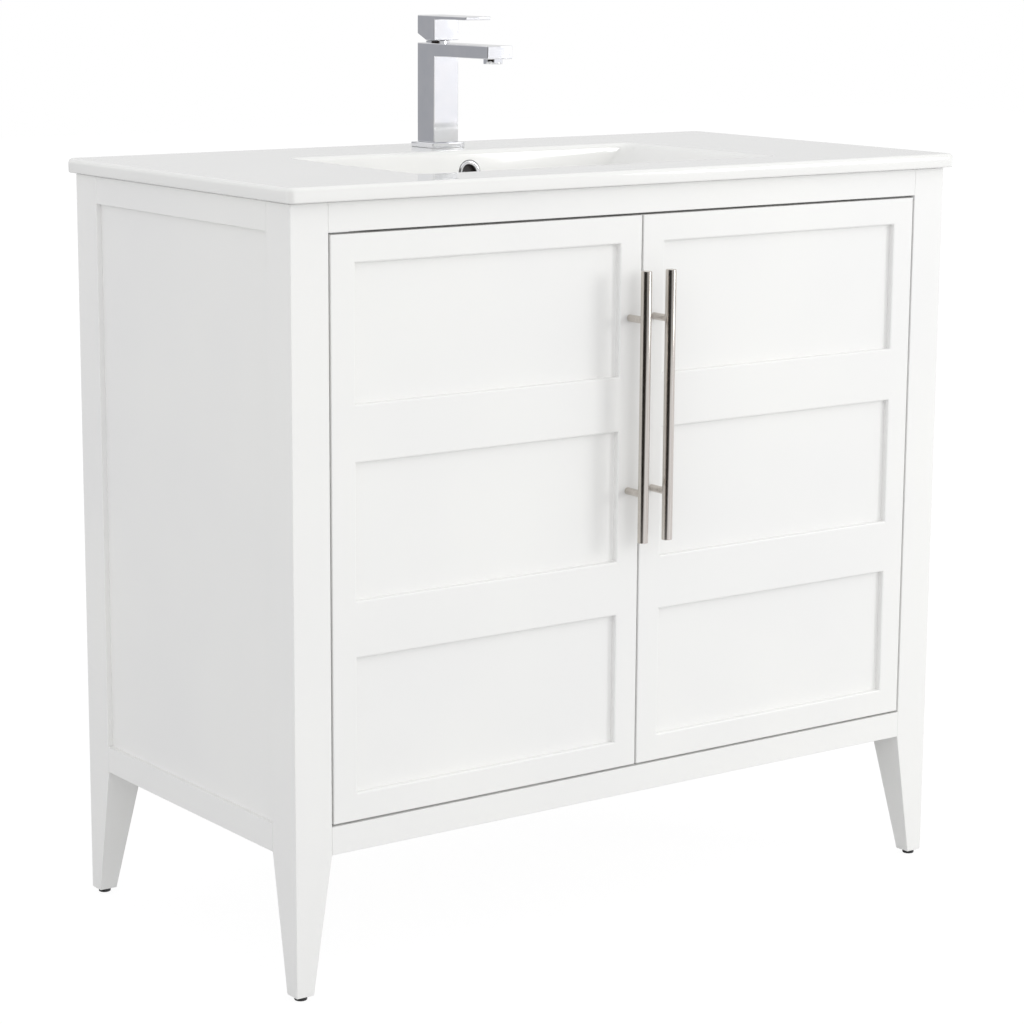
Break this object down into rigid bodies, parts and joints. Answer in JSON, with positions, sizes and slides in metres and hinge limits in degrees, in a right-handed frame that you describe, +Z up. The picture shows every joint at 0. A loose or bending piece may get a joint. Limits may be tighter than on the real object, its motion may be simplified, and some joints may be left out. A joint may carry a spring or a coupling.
{
  "type": "bathroom vanity cabinet",
  "caption": "Freestanding white vanity on tapered legs: inset panelled doors with long bar handles, ceramic top with a sunk rectangular bowl, overflow and square lever tap.",
  "frame": {"origin": "on the floor under the middle of the whole object's box, handles and top included", "axes": "+X to the right seen from the front, +Y from the doors to the wall, +Z up"},
  "size_m": [0.915, 0.4995, 1.012],
  "materials": {
    "white_lacquer": "satin white lacquer on wood board",
    "glazed_china": "gloss white glaze",
    "polished_chrome": "polished chrome plate",
    "brushed_nickel": "brushed along the bar",
    "plated_steel": "nickel-plated pressed steel",
    "brass": "turned brass",
    "black_glide": "moulded black",
    "black_rubber": "matt",
    "sealant": "matt bead in shadow",
    "clear_silicone": "clear soft pad"
  },
  "bodies": {
    "cabinet": {"post_front_left": "white_lacquer", "post_front_right": "white_lacquer", "post_back_left": "white_lacquer", "post_back_right": "white_lacquer", "side_rails_left": "white_lacquer", "side_rails_right": "white_lacquer", "side_panel_left": "white_lacquer", "side_panel_right": "white_lacquer", "front_apron": "white_lacquer", "toe_rail": "white_lacquer", "back_top_rail": "white_lacquer", "back_foot_rail": "white_lacquer", "floor_board": "white_lacquer", "floor_cleats": "white_lacquer", "hinge_cleats": "white_lacquer", "corner_blocks": "white_lacquer", "door_stop": "white_lacquer", "door_bumpers": "clear_silicone", "leg_glides": "black_glide", "top_sealant": "sealant", "basin_deck": "glazed_china", "basin_bowl": "glazed_china", "overflow_duct": "glazed_china", "overflow_ring": "polished_chrome", "waste_flange": "polished_chrome", "waste_washer": "black_rubber", "waste_nut": "brass", "waste_guide": "brass", "waste_tailpiece": "polished_chrome", "tap_plate": "polished_chrome", "tap_body": "polished_chrome", "tap_aerator": "polished_chrome", "tap_cartridge": "polished_chrome", "tap_shank": "brass", "tap_washer": "black_rubber", "tap_nut": "brass", "hinge_arm_screws": "plated_steel", "hinge_arms_left": "plated_steel", "hinge_arms_right": "plated_steel"},
    "door_left": {"door_stiles_left": "white_lacquer", "door_rails_left": "white_lacquer", "door_panels_left": "white_lacquer", "hinge_cups_left": "plated_steel", "hinge_pins_left": "plated_steel", "cup_screws_left": "plated_steel", "handle_bar_left": "brushed_nickel", "handle_standoffs_left": "brushed_nickel", "handle_screws_left": "plated_steel"},
    "door_right": {"door_stiles_right": "white_lacquer", "door_rails_right": "white_lacquer", "door_panels_right": "white_lacquer", "hinge_cups_right": "plated_steel", "hinge_pins_right": "plated_steel", "cup_screws_right": "plated_steel", "handle_bar_right": "brushed_nickel", "handle_standoffs_right": "brushed_nickel", "handle_screws_right": "plated_steel"},
    "tap_core": {"tap_spindle": "plated_steel"},
    "tap_handle": {"tap_lever": "polished_chrome", "tap_lever_stem": "plated_steel"},
    "stopper": {"waste_stopper": "polished_chrome"}
  },
  "joints": [
    {"name": "door_left_hinge", "type": "hinge", "parent": "cabinet", "child": "door_left", "pos_m": [-0.3785, -0.20525, 0.4975], "axis": [0, 0, -1], "range_deg": [0, 95]},
    {"name": "door_right_hinge", "type": "hinge", "parent": "cabinet", "child": "door_right", "pos_m": [0.3785, -0.20525, 0.4975], "axis": [0, 0, 1], "range_deg": [0, 95]},
    {"name": "tap_turn", "type": "hinge", "parent": "cabinet", "child": "tap_core", "pos_m": [0, 0.17875, 0.9758], "axis": [0, 0, 1], "range_deg": [-45, 45]},
    {"name": "tap_lift", "type": "hinge", "parent": "tap_core", "child": "tap_handle", "pos_m": [0, 0.17875, 0.9758], "axis": [-1, 0, 0], "range_deg": [0, 22]},
    {"name": "stopper_slide", "type": "slide", "parent": "cabinet", "child": "stopper", "axis": [0, 0, 1], "range_m": [0, 0.008]}
  ]
}
